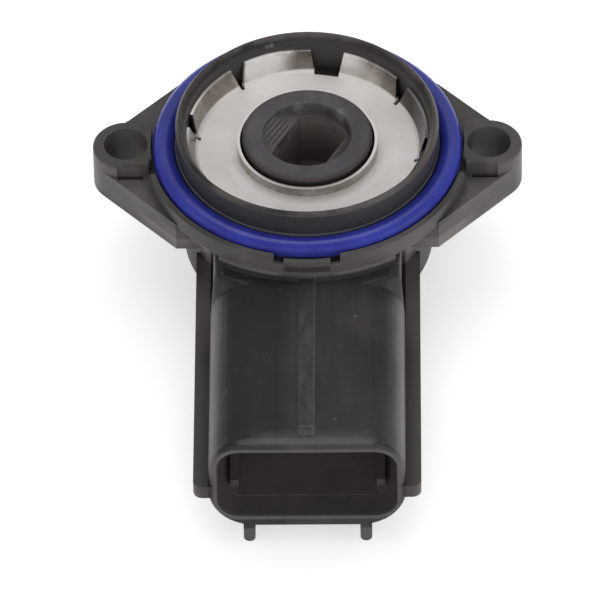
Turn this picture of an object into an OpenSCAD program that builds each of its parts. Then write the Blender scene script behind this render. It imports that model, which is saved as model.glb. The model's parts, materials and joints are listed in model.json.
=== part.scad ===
// Throttle position sensor: a rotary potentiometer in a moulded housing with a three-way socket.
// Origin: the rotor's axis on the plane of the two ear faces. +Z points out of the sealing face.

/* [Ears] */
// Distance between the two screw holes
bolt_spacing = 44; // [44:0.5:50]
// Screw hole diameter
bolt_hole_d = 5.3; // [4.2:0.1:5.6]
// Diameter of the round end of an ear
boss_d = 8; // [7.8:0.1:10]
// Thickness of an ear from its face to its underside
ear_t = 5.9; // [4.5:0.1:8]
// How far the webs beside the ears lie below the ear faces
web_drop = 1.8; // [1.2:0.1:2.4]
// Distance from a hole's axis to the front face of the raised bar between ear and flange
bar_front = 3.55; // [3.3:0.05:3.8]
// Width of the trench in the web in front of the bar
trench_w = 0.7; // [0.4:0.1:1.2]
// Depth of that trench below the web's top
trench_depth = 2.2; // [0.6:0.1:2.6]
// Half depth in Y at which the webs are cut off square
web_reach_y = 12; // [10:0.5:13]

/* [Seal] */
// Thickness of the sealing ring
ring_section = 2.66; // [2.2:0.02:2.8]
// Gap between the sealing ring and the collar
ring_fit = 0.18; // [0.16:0.02:0.4]
// Gap between the sealing ring and the lip in front of it
lip_gap = 0.22; // [0.15:0.01:0.4]
// Width of the lip
lip_w = 0.7; // [0.5:0.05:1.2]
// How far the top of the lip lies below the ear faces
lip_drop = 0.15; // [0:0.05:0.6]
// Angle that the lip covers round the connector's side
lip_span = 150; // [120:5:160]
// Thickness of the flange under the ring
flange_t = 1.4; // [1.2:0.05:2.5]
// Bevel under the flange's rim
flange_bevel = 0.55; // [0.2:0.05:0.7]
// Distance from the middle to each notch in the lip
notch_x = 3.4; // [2.5:0.1:5]
// Width of a notch
notch_w = 1.2; // [0.8:0.1:1.8]
// Depth of a notch
notch_depth = 1.3; // [0.5:0.1:1.5]
// How much lower the lip is between the notches
tab_drop = 0.6; // [0.2:0.1:1]

/* [Collar] */
// Outer diameter of the collar that enters the throttle body
collar_d = 31.9; // [31:0.1:32.4]
// Height of the collar above the ear faces
collar_h = 3.7; // [2.5:0.1:5]
// Wall of the collar beside the retainer's fingers
collar_wall = 1.25; // [1.1:0.05:1.6]
// Thickness of the step round the foot of the collar
collar_step = 0.1; // [0.06:0.01:0.14]
// Height of that step above the ear faces
collar_step_h = 0.3; // [0:0.1:1]
// Width of the bevel round the collar's top
collar_bevel = 0.35; // [0.2:0.05:0.45]
// Flat width left on top of the collar
collar_land = 0.2; // [0.16:0.02:0.6]
// Height of the taper inside the collar's mouth
collar_taper_h = 1.4; // [0.5:0.1:2]

/* [Retainer] */
// Depth of the retainer's seat below the ear faces
seat_depth = 1.45; // [1:0.05:2]
// Width of the shoulder that the retainer sits on
seat_w = 1.6; // [1.3:0.05:1.9]
// Sheet thickness of the retainer
retainer_t = 0.35; // [0.3:0.05:0.5]
// Height of the fingers above the sheet's top
finger_h = 2.9; // [2.2:0.1:3.3]
// How far the fingers lean outwards over their height
finger_lean = 1.05; // [0.7:0.05:1.2]
// Gap between the finger tips and the collar's bore
finger_gap = 0.08; // [0.05:0.01:0.2]
// Number of fingers
fingers = 8; // [6:1:12]
// Angle of the first notch between fingers
finger_start = 36.4; // [0:0.2:45]
// Width of a notch at the sheet
slot_foot = 0.5; // [0.3:0.05:0.8]
// Width of a notch at the finger tips
slot_mouth = 2.3; // [1:0.1:2.6]
// Width of the keyway notch at the sheet
key_foot = 3; // [2:0.1:3.6]
// Width of the keyway notch at the finger tips
key_mouth = 4.1; // [3:0.1:5]
// How far the keyway notch is turned off the even spacing
key_shift = -1.2; // [-3:0.2:3]
// Height of the rim round the rotor above the sheet's top
rim_h = 1.75; // [1:0.05:2]

/* [Rotor] */
// Diameter of the hub
hub_d = 15.8; // [15:0.1:16.6]
// Height of the hub above the ear faces
hub_rise = 1.5; // [1:0.1:3]
// Chamfer round the hub's top
hub_chamfer = 0.25; // [0.2:0.05:0.9]
// Gap between the hub and the retainer's rim
hub_gap = 0.27; // [0.2:0.01:0.5]
// Diameter of the round mouth of the socket
mouth_d = 10.8; // [10.6:0.1:11.4]
// Width across the flats of the socket
flat_w = 6.6; // [6:0.1:7.2]
// Depth of the sloped lead-in from the mouth to the flats
lead_in = 1.8; // [1.2:0.1:4]
// Length of the socket across its round ends
socket_len = 10.4; // [9.6:0.1:10.5]
// Depth of the socket below the hub's top
socket_depth = 9.6; // [7:0.1:10.5]
// Angle of the socket's long axis from X at rest
socket_angle = 61; // [0:1:180]
// Radius of the rotor's thrust shoulder
shoulder_r = 10.3; // [9.6:0.1:10.6]
// Thickness of the thrust shoulder
shoulder_t = 1; // [0.8:0.1:1.4]
// Radius of the skirt that the spring goes round
skirt_r = 8.4; // [8.1:0.1:8.7]
// Radius of the lower disc
disc_r = 11.2; // [10.9:0.1:11.4]
// Thickness of the lower disc
disc_t = 1.4; // [1:0.1:1.6]
// Diameter of the journal under the disc
journal_d = 5; // [4:0.1:5.4]
// Radial clearance of the journal in its bearing
journal_gap = 0.05; // [0.03:0.01:0.08]
// Full turning angle between the stops
travel = 105; // [80:1:120]

/* [Cup] */
// Wall of the round body
cup_wall = 2.1; // [1.6:0.1:2.6]
// Depth of the body's back below the ear faces
cup_depth = 16.5; // [16:0.1:18]
// Thickness of the floor
floor_t = 2; // [1.8:0.1:2.4]
// Rounding of the bottom edge
cup_round = 1; // [0.4:0.1:1.4]

/* [Connector] */
// Distance from the axis to the socket's mouth
mouth_y = 46.8; // [42:0.2:52]
// Distance from the axis to the back of the shroud
shroud_back_y = 19; // [18.6:0.2:22]
// Depth of the shroud's top below the ear faces
shroud_top = 3.3; // [3.15:0.05:3.6]
// Height of the shroud
shroud_h = 14.7; // [14:0.1:15.5]
// Width of the shroud
shroud_w = 23.4; // [22.6:0.1:24.4]
// Radius of the shroud's outer corners
shroud_r = 5.5; // [4:0.1:6]
// Side wall of the shroud
side_wall = 1.1; // [0.8:0.05:1.4]
// Top and bottom wall of the shroud
top_wall = 2; // [1.3:0.05:2.1]
// Radius of the socket's inner corners
socket_r = 2.6; // [2.2:0.1:4]
// Depth of the socket
plug_depth = 19.4; // [16:0.2:20]
// Depth of the slightly wider stretch inside the mouth
relief_len = 3.4; // [2:0.2:5]
// How much wider that stretch is on each side
relief = 0.08; // [0.05:0.01:0.2]
// Rounding of the shroud's mouth edge
mouth_round = 0.6; // [0.2:0.05:0.65]
// Width of the neck behind the shroud
neck_w = 22.6; // [21.6:0.1:22.6]
// Radius of the neck's corners
neck_r = 1.3; // [0.8:0.1:2]
// Length over which the neck's section eases into the shroud's
neck_blend = 1.8; // [0.8:0.1:2.4]
// Radius of the hollow fillet between the flange and the neck's top
neck_fillet = 0.9; // [0.5:0.1:1]
// Width across the side rails
rail_span = 27.1; // [25.6:0.1:28.4]
// Thickness of the rails
rail_t = 1.9; // [1.2:0.1:2.2]
// Rounding of the rails' front corners
rail_round = 1.1; // [0.4:0.1:1.6]
// Depth of the rails' top below the ear faces
rail_top = 11; // [9:0.1:12]
// Distance between the two guide ribs under the shroud
guide_spacing = 13.9; // [12:0.1:14.4]
// Width of a guide rib
guide_w = 1.4; // [1:0.1:2]
// Depth of a guide rib below the shroud
guide_h = 2.4; // [1.5:0.1:3.5]
// Length of a guide rib
guide_len = 12; // [6:0.5:16]
// Width of the latch ramp between the guide ribs
latch_w = 6; // [4:0.2:8]
// Height of the latch ramp
latch_h = 1.7; // [1:0.1:2]
// Length of the latch ramp
latch_len = 4; // [3:0.2:6]
// Width of the flat strip along the shroud's top
strip_w = 2; // [1:0.1:4]
// Height of that strip
strip_h = 0.14; // [0.1:0.02:0.3]
// Width of the small raised gate mark at the strip's front end
gate_w = 1.8; // [1.2:0.1:2.4]
// Distance of a keying rib's middle from the socket's side wall
key_inset = 1.85; // [1.5:0.05:3]
// Width of a keying rib inside the socket
key_w = 1; // [0.6:0.1:1.4]
// Height of a keying rib
key_h = 1.1; // [0.6:0.1:1.6]
// How far the keying ribs start behind the mouth
key_back = 4.8; // [3:0.2:8]

/* [Terminals] */
// Distance between terminals
pitch = 5.5; // [5:0.1:5.8]
// Width of a terminal
blade_w = 2.8; // [2:0.1:3]
// Thickness of a terminal
blade_t = 0.8; // [0.6:0.05:0.9]
// How far the blade tips lie behind the mouth
blade_back = 8.6; // [7:0.2:12]
// Side of the square pin at a terminal's inner end
pin_w = 0.8; // [0.6:0.05:0.9]

/* [Element] */
// Radius of the element board
board_r = 12.8; // [12.6:0.05:12.9]
// Thickness of the element board
board_t = 0.8; // [0.6:0.05:1]
// Thickness of the printed tracks
print_t = 0.05; // [0.03:0.01:0.08]
// Middle radius of the resistor track
resistor_r = 9.4; // [9.2:0.05:9.6]
// Middle radius of the collector track
collector_r = 6.9; // [6.7:0.05:7.1]
// Width of a track
track_w = 1.5; // [1.2:0.05:1.6]
// Sheet thickness of the wiper
wiper_t = 0.2; // [0.15:0.01:0.25]
// Clearance between the wiper's contacts and the tracks
wiper_gap = 0.04; // [0.02:0.01:0.1]

/* [Spring] */
// Wire thickness of the return spring
wire_d = 0.7; // [0.5:0.05:0.8]
// Turns of the return spring
turns = 4; // [3:1:4]
// Pitch of the spring's turns
coil_pitch = 0.95; // [0.85:0.05:1]
// Gap between the spring and the rotor's skirt
coil_gap = 1; // [0.9:0.05:1.1]
// Sheet thickness of the wave washer
wave_t = 0.25; // [0.2:0.01:0.3]
// Rise and fall of the wave washer
wave_h = 0.14; // [0.08:0.01:0.16]

/* [Hidden] */
$fn = 96;
eps = 0.01;

collar_r = collar_d / 2;
ring_r = ring_section / 2;
ring_mean_r = collar_r + ring_fit + ring_r;
lip_inner_r = ring_mean_r + ring_r + lip_gap;
flange_r = lip_inner_r + lip_w;
groove_z = -web_drop;
ring_z = groove_z + ring_r;

bore_r = collar_r - collar_wall;
seat_z = -seat_depth;
cavity_r = bore_r - seat_w;
cup_r = cavity_r + cup_wall;
cup_z = -cup_depth;
floor_z = cup_z + floor_t;

retainer_top = seat_z + retainer_t;
finger_tip_r = bore_r - finger_gap;
finger_root_r = finger_tip_r - finger_lean;
hub_r = hub_d / 2;
rim_inner_r = hub_r + hub_gap;

// The wave washer fills the space between the retainer and the rotor's shoulder
wave_gap = 0.04;
wave_r = rim_inner_r + 1.2;
wave_w = 1.4;
wave_z = seat_z - wave_gap - wave_h - wave_t / 2;
shoulder_z = wave_z - wave_h - wave_t / 2 - wave_gap;

board_z = floor_z + board_t;
print_z = board_z + print_t;
wiper_drop = 2;
disc_z = print_z + wiper_drop + wiper_t;
disc_top = disc_z + disc_t;
journal_r = journal_d / 2;
bearing_r = journal_r + journal_gap;
bearing_wall = 1.6;
bearing_depth = 1.1;
bearing_top = disc_z - 0.6;
journal_z = floor_z - bearing_depth + 0.3;

stop_h = disc_t;
stop_gap = 0.3;
stop_r = cavity_r - 0.45;
rib_angle = 16;
lug_angle = 16;
// The rest stop lies beside the lug's lagging flank, the other one past the full travel
stop_clear = asin(stop_gap / disc_r);
lug_centre = 205;
rib_1 = lug_centre - lug_angle / 2 - stop_clear - rib_angle / 2;
rib_2 = lug_centre + travel + lug_angle / 2 + stop_clear + rib_angle / 2;
rib_inner_r = disc_r + stop_gap;
rib_top = disc_top + 0.4;
board_slack = 0.15;

shroud_z = -shroud_top - shroud_h / 2;
shroud_bottom = -shroud_top - shroud_h;
socket_w = shroud_w - 2 * side_wall;
socket_h = shroud_h - 2 * top_wall;
socket_back_y = -mouth_y + plug_depth;
blade_tip_y = -mouth_y + blade_back;
riser_y = -19;
run_z = cup_z + floor_t / 2;
pin_top = board_z + 0.35;
pad_r = board_r - 1.1;

coil_r = skirt_r + coil_gap + wire_d / 2;
coil_z0 = disc_top + 0.15 + wire_d / 2;
coil_z1 = coil_z0 + turns * coil_pitch;
leg_slot_w = wire_d + 0.3;
leg_angle = 250;
post_gap = 0.04;

// Plain shapes

module rounded_rect(w, h, r) {
    square([w, h - 2 * r], center = true);
    square([w - 2 * r, h], center = true);
    for (sx = [-1, 1], sy = [-1, 1])
        translate([sx * (w / 2 - r), sy * (h / 2 - r)]) circle(r);
}

// A sector of the plane, from angle a0 to a1, out to radius r
module sector(r, a0, a1) {
    steps = 12;
    polygon(concat([[0, 0]],
        [for (i = [0:steps]) let (a = a0 + (a1 - a0) * i / steps) [r * cos(a), r * sin(a)]]));
}

// A ring sector with true round inner and outer edges
module arc_bar(r0, r1, h, a0, a1) {
    linear_extrude(h) intersection() {
        difference() {
            circle(r1);
            circle(r0);
        }
        sector(2 * r1, a0, a1);
    }
}

// A prism whose outline is drawn in X and Z and that runs in +Y from y0 to y1
module along_y(y0, y1) {
    translate([0, y1, 0]) rotate([90, 0, 0]) linear_extrude(y1 - y0) children();
}

module disc_rounded(r, h, e) {
    rotate_extrude() {
        square([r - e, h]);
        square([r, h - e]);
        intersection() {
            translate([r - e, h - e]) circle(e, $fn = 48);
            square([r, h]);
        }
    }
}

// Housing

// The cup, the flange and the collar as one turned profile
module turned_body() {
    rotate_extrude() {
        difference() {
            union() {
                polygon([
                    [0, cup_z], [cup_r - cup_round, cup_z], [cup_r - cup_round, cup_z + cup_round],
                    [cup_r, cup_z + cup_round], [cup_r, groove_z - flange_t],
                    [flange_r - flange_bevel, groove_z - flange_t],
                    [flange_r, groove_z - flange_t + 1.6 * flange_bevel],
                    [flange_r, groove_z], [collar_r + collar_step, groove_z],
                    [collar_r + collar_step, collar_step_h - 0.1],
                    [collar_r + collar_step - 0.08, collar_step_h],
                    [collar_r, collar_step_h], [collar_r, collar_h - 1.4 * collar_bevel],
                    [collar_r - collar_bevel, collar_h],
                    [collar_r - collar_bevel - collar_land, collar_h],
                    [bore_r, collar_h - collar_taper_h], [0, collar_h - collar_taper_h]
                ]);
                intersection() {
                    translate([cup_r - cup_round, cup_z + cup_round]) circle(cup_round, $fn = 48);
                    translate([0, cup_z]) square([cup_r, cup_round]);
                }
            }
            translate([0, seat_z]) square([bore_r, collar_h + seat_depth + 1]);
            difference() {
                translate([0, floor_z]) square([cavity_r, seat_z - floor_z + eps]);
                bearing_profile();
            }
            translate([0, floor_z - bearing_depth]) square([bearing_r, cup_depth]);
        }
    }
}

module bearing_profile() {
    translate([0, floor_z - eps]) square([bearing_r + bearing_wall, bearing_top - floor_z + eps]);
}

// The raised lip in front of the ring, with two notches and a lower tab between them
module lip() {
    top = -lip_drop;
    front = 270;
    difference() {
        translate([0, 0, groove_z - eps])
            arc_bar(lip_inner_r, flange_r, top - groove_z + eps, front - lip_span / 2, front + lip_span / 2);
        for (s = [-1, 1])
            translate([s * notch_x - notch_w / 2, -flange_r - 1, top - notch_depth])
                cube([notch_w, lip_w + 4, notch_depth + 1]);
        translate([-notch_x, -flange_r - 1, top - tab_drop]) cube([2 * notch_x, lip_w + 4, tab_drop + 1]);
    }
}

// Tangent web between the flange and one ear, as an outline
module web_outline() {
    d = bolt_spacing / 2;
    r = boss_d / 2;
    a = acos((flange_r - r) / d);
    intersection() {
        polygon([
            [0, -flange_r * sin(a)], [flange_r * cos(a), -flange_r * sin(a)],
            [d + r * cos(a), -r * sin(a)], [d + r * cos(a), r * sin(a)],
            [flange_r * cos(a), flange_r * sin(a)], [0, flange_r * sin(a)]
        ]);
        translate([0, -web_reach_y]) square([2 * d, 2 * web_reach_y]);
    }
}

module ear() {
    d = bolt_spacing / 2;
    edge = 0.4;
    bar_gap = 0.2;
    bar_start = lip_inner_r + bar_gap;
    trench_start = flange_r + bar_gap;
    trench_end = d + 1;
    difference() {
        union() {
            translate([0, 0, -ear_t]) linear_extrude(ear_t - web_drop) web_outline();
            translate([d, 0, -ear_t]) disc_rounded(boss_d / 2, ear_t, edge);
            translate([bar_start, -bar_front, -ear_t])
                cube([d - bar_start, bar_front + boss_d / 2, ear_t]);
        }
        translate([trench_start, -bar_front - trench_w, -web_drop - trench_depth])
            cube([trench_end - trench_start, trench_w, trench_depth + web_drop + 1]);
    }
}

module ears() {
    ear();
    mirror([1, 0, 0]) ear();
}

// One thin slice across the shroud or its neck
module slice(y, w, h, r) {
    translate([0, y, shroud_z]) rotate([90, 0, 0]) linear_extrude(eps) rounded_rect(w, h, r, $fn = 40);
}

// The shroud's mouth with its rounded edge
module rounded_mouth() {
    hull()
        for (part = [[eps, 1], [mouth_round / 3, 1 / 3], [mouth_round + eps, 0]]) {
            inset = mouth_round * part[1];
            slice(-mouth_y + part[0], shroud_w - 2 * inset, shroud_h - 2 * inset, shroud_r - inset);
        }
}

// The neck's section, with its tight corners, eases into the shroud's rounder one
module neck_shoulder() {
    steps = 4;
    for (k = [1:steps])
        hull()
            for (t = [(k - 1) / steps, k / steps]) {
                share = (1 - cos(180 * t)) / 2;
                slice(-shroud_back_y - neck_blend * t, neck_w + (shroud_w - neck_w) * share, shroud_h,
                    neck_r + (shroud_r - neck_r) * share);
            }
}

// The neck, with a sloped back where it meets the bottom of the cup
module neck() {
    slope = 2;
    low = shroud_bottom - 1;
    difference() {
        translate([0, 0, shroud_z]) along_y(-shroud_back_y, -cup_r / 2)
            rounded_rect(neck_w, shroud_h, neck_r);
        translate([-shroud_w / 2, -cup_r + slope, 0]) rotate([90, 0, 90]) linear_extrude(shroud_w)
            polygon([[0, cup_z], [cup_r, cup_z], [cup_r, low],
                [(low - cup_z) * slope / (cup_z - shroud_bottom), low]]);
    }
}

// Hollow fillet between the flange and the top of the neck
module flange_fillet() {
    foot_r = flange_r - 0.1 + neck_fillet;
    half_w = neck_w / 2 - neck_r / 2;
    sunk = 0.3;
    intersection() {
        rotate_extrude() difference() {
            translate([cup_r, -shroud_top - sunk]) square([foot_r - cup_r, neck_fillet + sunk]);
            translate([foot_r, -shroud_top + neck_fillet]) circle(neck_fillet);
        }
        translate([-half_w, -2 * flange_r, -cup_depth]) cube([2 * half_w, 2 * flange_r, cup_depth]);
    }
}

// The flat strip along the shroud's top, with a small open frame as gate mark at its front end
module top_strip() {
    gate_y = -mouth_y + mouth_round + 0.3;
    gate_len = 1.5;
    gate_line = 0.35;
    gate_h = strip_h + 0.12;
    translate([-strip_w / 2, gate_y, -shroud_top - eps])
        cube([strip_w, -shroud_back_y - gate_y, strip_h + eps]);
    difference() {
        translate([-gate_w / 2, gate_y, -shroud_top - eps]) cube([gate_w, gate_len, gate_h + eps]);
        translate([gate_line - gate_w / 2, gate_y - 1, -shroud_top + strip_h])
            cube([gate_w - 2 * gate_line, gate_len - gate_line + 1, 1]);
    }
}

module shroud() {
    translate([0, 0, shroud_z]) along_y(-mouth_y + mouth_round, -shroud_back_y - neck_blend)
        rounded_rect(shroud_w, shroud_h, shroud_r);
    rounded_mouth();
    neck_shoulder();
    neck();
    flange_fillet();
    top_strip();
}

// One plate through the whole neck and shroud, of which only the edges show
module rails() {
    translate([0, 0, -rail_top - rail_t]) linear_extrude(rail_t) {
        translate([-rail_span / 2, -mouth_y + rail_round])
            square([rail_span, mouth_y - cup_r / 2 - rail_round]);
        translate([-rail_span / 2 + rail_round, -mouth_y])
            square([rail_span - 2 * rail_round, 2 * rail_round]);
        for (s = [-1, 1])
            translate([s * (rail_span / 2 - rail_round), -mouth_y + rail_round]) circle(rail_round, $fn = 32);
    }
}

// Round-ended guide ribs and the latch ramp on the underside
module underside() {
    for (s = [-1, 1])
        along_y(-mouth_y, -mouth_y + guide_len) translate([s * guide_spacing / 2, shroud_bottom]) {
            translate([-guide_w / 2, -guide_h + guide_w / 2]) square([guide_w, guide_h]);
            translate([0, -guide_h + guide_w / 2]) circle(guide_w / 2);
        }
    latch_front = 3.4;
    latch_root = 0.2;
    translate([-latch_w / 2, -mouth_y + latch_front, shroud_bottom]) rotate([90, 0, 90])
        linear_extrude(latch_w)
            polygon([[0, latch_root], [0, -latch_root], [latch_len * 0.75, -latch_h],
                [latch_len, -latch_h], [latch_len, latch_root]]);
}

module plug_space() {
    translate([0, 0, shroud_z]) along_y(-mouth_y - 1, socket_back_y)
        rounded_rect(socket_w, socket_h, socket_r);
    translate([0, 0, shroud_z]) along_y(-mouth_y - 1, -mouth_y + relief_len)
        rounded_rect(socket_w + 2 * relief, socket_h + 2 * relief, socket_r + relief);
    lead = 0.15;
    hull() {
        for (i = [0, 1])
            translate([0, -mouth_y + (i == 0 ? lead : -eps), shroud_z]) rotate([90, 0, 0]) linear_extrude(eps)
                rounded_rect(socket_w + 2 * lead * i, socket_h + 2 * lead * i, socket_r + lead * i, $fn = 48);
    }
}

// Two keying ribs on the socket's floor, near its side walls
module keys() {
    for (s = [-1, 1])
        translate([s * (socket_w / 2 - key_inset) - key_w / 2, -mouth_y + key_back,
                shroud_bottom + top_wall - 0.3])
            cube([key_w, plug_depth - key_back + 0.5, key_h + 0.3]);
}

module stop_ribs() {
    for (a = [rib_1, rib_2])
        translate([0, 0, floor_z - eps])
            arc_bar(rib_inner_r, cavity_r + 0.3, rib_top - floor_z + eps,
                a - rib_angle / 2, a + rib_angle / 2);
}

// Slot in the wall of the cup for the fixed leg of the spring
module leg_slot() {
    rotate(leg_angle) translate([cavity_r - 0.6, -leg_slot_w / 2, coil_z1 - leg_slot_w / 2])
        cube([1.3, leg_slot_w, seat_z - coil_z1 + leg_slot_w / 2 + eps]);
}

module housing() {
    color([0.20, 0.19, 0.19]) {
        difference() {
            union() {
                difference() {
                    union() {
                        turned_body();
                        lip();
                        difference() {
                            union() {
                                ears();
                                shroud();
                                rails();
                                underside();
                            }
                            translate([0, 0, cup_z]) cylinder(r = cup_r - 0.5, h = cup_depth - 0.1);
                            translate([0, 0, groove_z])
                                cylinder(r = lip_inner_r, h = web_drop + 1);
                        }
                    }
                    plug_space();
                }
                keys();
                stop_ribs();
            }
            for (s = [-1, 1])
                translate([s * bolt_spacing / 2, 0, -ear_t - 1]) cylinder(d = bolt_hole_d, h = ear_t + 2);
            leg_slot();
            for (i = [-1:1]) terminal(i);
        }
    }
}

// Sealing ring

module o_ring() {
    color([0.14, 0.16, 0.56])
        translate([0, 0, ring_z]) rotate_extrude() translate([ring_mean_r, 0]) circle(ring_r, $fn = 48);
}

// Retainer

// One notch between fingers, wider at the tips than at the sheet
module finger_slot(angle, foot, mouth) {
    tip = 0.5;
    rotate(angle) translate([finger_root_r - tip, 0, retainer_top])
        rotate([90, 0, 90]) linear_extrude(3)
            polygon([[-foot / 2, -1], [foot / 2, -1], [foot / 2, 0], [mouth / 2, finger_h + 0.1],
                [-mouth / 2, finger_h + 0.1], [-foot / 2, 0]]);
}

module retainer_plate() {
    bend = 0.3;
    key_slot = 1;
    color([0.78, 0.77, 0.75]) difference() {
        rotate_extrude() {
            translate([rim_inner_r, seat_z]) square([finger_root_r - rim_inner_r - bend, retainer_t]);
            polygon([
                [finger_root_r - bend - eps, seat_z], [finger_root_r + 0.05, seat_z],
                [finger_root_r + retainer_t * 0.9, seat_z + bend + 0.1],
                [finger_tip_r, retainer_top + finger_h], [finger_tip_r - retainer_t, retainer_top + finger_h],
                [finger_root_r, retainer_top + bend], [finger_root_r - bend - eps, retainer_top]
            ]);
            translate([rim_inner_r, seat_z]) square([retainer_t, retainer_t + rim_h]);
        }
        for (i = [0:fingers - 1])
            if (i != key_slot)
                finger_slot(finger_start + i * 360 / fingers, slot_foot, slot_mouth);
        finger_slot(finger_start + key_slot * 360 / fingers + key_shift, key_foot, key_mouth);
    }
}

// Rotor

// The double-D socket with its sloped lead-in, along X
module rotor_socket() {
    recess = 0.35;
    translate([0, 0, hub_rise - recess]) cylinder(d = mouth_d, h = recess + 1);
    intersection() {
        translate([0, 0, hub_rise - recess - lead_in]) cylinder(d = mouth_d - 0.2, h = lead_in + 1);
        rotate([90, 0, 90]) translate([0, 0, -mouth_d]) linear_extrude(2 * mouth_d)
            polygon([
                [-flat_w / 2, hub_rise - recess - lead_in], [flat_w / 2, hub_rise - recess - lead_in],
                [mouth_d / 2, hub_rise - recess], [-mouth_d / 2, hub_rise - recess]
            ]);
    }
    intersection() {
        translate([0, 0, hub_rise - socket_depth]) cylinder(d = socket_len, h = socket_depth + 1);
        translate([-mouth_d, -flat_w / 2, hub_rise - socket_depth]) cube([2 * mouth_d, flat_w, socket_depth]);
    }
}

// A post that pushes the spring's lower leg round as the rotor turns
module spring_post() {
    post_w = 1.3;
    post_r = coil_r + wire_d;
    rotate(leg_angle) translate([post_r, -wire_d / 2 - post_gap - post_w, disc_top - eps])
        cube([disc_r - 0.12 - post_r, post_w, wire_d + 0.3 + eps]);
}

module rotor() {
    color([0.25, 0.24, 0.25]) difference() {
        union() {
            rotate_extrude() polygon([
                [0, journal_z], [journal_r - 0.3, journal_z], [journal_r, journal_z + 0.3],
                [journal_r, disc_z], [disc_r, disc_z], [disc_r, disc_top], [skirt_r, disc_top],
                [skirt_r, shoulder_z - shoulder_t], [shoulder_r, shoulder_z - shoulder_t],
                [shoulder_r, shoulder_z], [hub_r, shoulder_z], [hub_r, hub_rise - hub_chamfer],
                [hub_r - hub_chamfer, hub_rise], [0, hub_rise]
            ]);
            translate([0, 0, disc_z])
                arc_bar(disc_r - 0.5, stop_r, stop_h, lug_centre - lug_angle / 2, lug_centre + lug_angle / 2);
            spring_post();
            for (a = wiper_peg_angles())
                rotate(a) translate([wiper_peg_r(), 0, disc_z - wiper_t - 0.25])
                    cylinder(r = wiper_peg_hole_r - 0.05, h = wiper_t + 1);
        }
        rotate(socket_angle) rotor_socket();
    }
}

// Wave washer between the retainer and the rotor

module wave_washer() {
    n = 96;
    waves = 3;
    function lift(a) = wave_z + wave_h * cos(waves * a);
    function corner(i, k) = let (a = 360 * i / n, r = wave_r + (k == 0 || k == 3 ? 0 : wave_w) - wave_w / 2)
        [r * cos(a), r * sin(a), lift(a) + (k < 2 ? -1 : 1) * wave_t / 2];
    color([0.72, 0.72, 0.70]) polyhedron(
        points = [for (i = [0:n - 1], k = [0:3]) corner(i, k)],
        faces = [for (i = [0:n - 1], k = [0:3])
            let (j = (i + 1) % n, m = (k + 1) % 4)
            each [[4 * i + k, 4 * i + m, 4 * j + m], [4 * i + k, 4 * j + m, 4 * j + k]]]);
}

// Return spring: a coil with one leg in the housing's slot and one against the rotor's post

function coil_point(t) = let (a = leg_angle - 360 * t)
    [coil_r * cos(a), coil_r * sin(a), coil_z0 + coil_pitch * t];

function leg_point(r, z) = [r * cos(leg_angle), r * sin(leg_angle), z];

module return_spring() {
    sides = 8;
    per_turn = 24;
    path = concat(
        [leg_point(disc_r - 0.2, coil_z0), leg_point(coil_r + wire_d / 2, coil_z0)],
        [for (i = [1:turns * per_turn - 1]) coil_point(i / per_turn)],
        [leg_point(coil_r + wire_d / 2, coil_z1), leg_point(cavity_r + 0.4, coil_z1)]);
    n = len(path);
    function dir(i) = let (d = path[min(i + 1, n - 1)] - path[max(i - 1, 0)]) d / norm(d);
    function ring_point(i, k) = let (d = dir(i), s = cross(d, [0, 0, 1]), u = s / norm(s), v = cross(u, d),
        a = 360 * k / sides) path[i] + wire_d / 2 * (cos(a) * u + sin(a) * v);
    color([0.55, 0.54, 0.52]) polyhedron(
        points = [for (i = [0:n - 1], k = [0:sides - 1]) ring_point(i, k)],
        faces = concat(
            [[for (k = [0:sides - 1]) k]],
            [for (i = [0:n - 2], k = [0:sides - 1]) let (m = (k + 1) % sides)
                each [[i * sides + k, (i + 1) * sides + k, (i + 1) * sides + m],
                    [i * sides + k, (i + 1) * sides + m, i * sides + m]]],
            [[for (k = [sides - 1:-1:0]) (n - 1) * sides + k]]));
}

// Wiper: a stamped plate on the rotor with two sets of sprung fingers

wiper_peg_hole_r = 0.65;

function wiper_peg_r() = (resistor_r + collector_r) / 2;

function wiper_peg_angles() = [62, 82];

module wiper() {
    plate_a0 = 50;
    plate_a1 = 90;
    finger_w = 0.38;
    finger_pitch = 0.5;
    contact_y = 2.2;
    root_y = 2.9;
    aim = plate_a0 - 15;
    bed = disc_z - wiper_t;
    tip_z = print_z + wiper_gap;
    color([0.80, 0.66, 0.36]) {
        difference() {
            translate([0, 0, bed])
                arc_bar(collector_r - track_w / 2, resistor_r + track_w / 2, wiper_t, plate_a0, plate_a1);
            for (a = wiper_peg_angles())
                rotate(a) translate([wiper_peg_r(), 0, bed - 1]) cylinder(r = wiper_peg_hole_r, h = 2);
        }
        for (r = [collector_r, resistor_r], k = [-1:1])
            rotate(aim)
                translate([sqrt(r * r - contact_y * contact_y) + k * finger_pitch - finger_w / 2, 0, 0])
                rotate([90, 0, 90]) linear_extrude(finger_w)
                    polygon([
                        [root_y, bed], [root_y, disc_z], [root_y - 0.75, disc_z],
                        [0.3 - contact_y, tip_z + wiper_t], [-contact_y, tip_z + wiper_t],
                        [-contact_y - 0.5, tip_z + 0.5], [-contact_y - 0.65, tip_z + 0.36],
                        [-contact_y - 0.1, tip_z], [0.35 - contact_y, tip_z], [root_y - 0.85, bed]
                    ]);
    }
}

// Element board with its printed tracks

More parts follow.
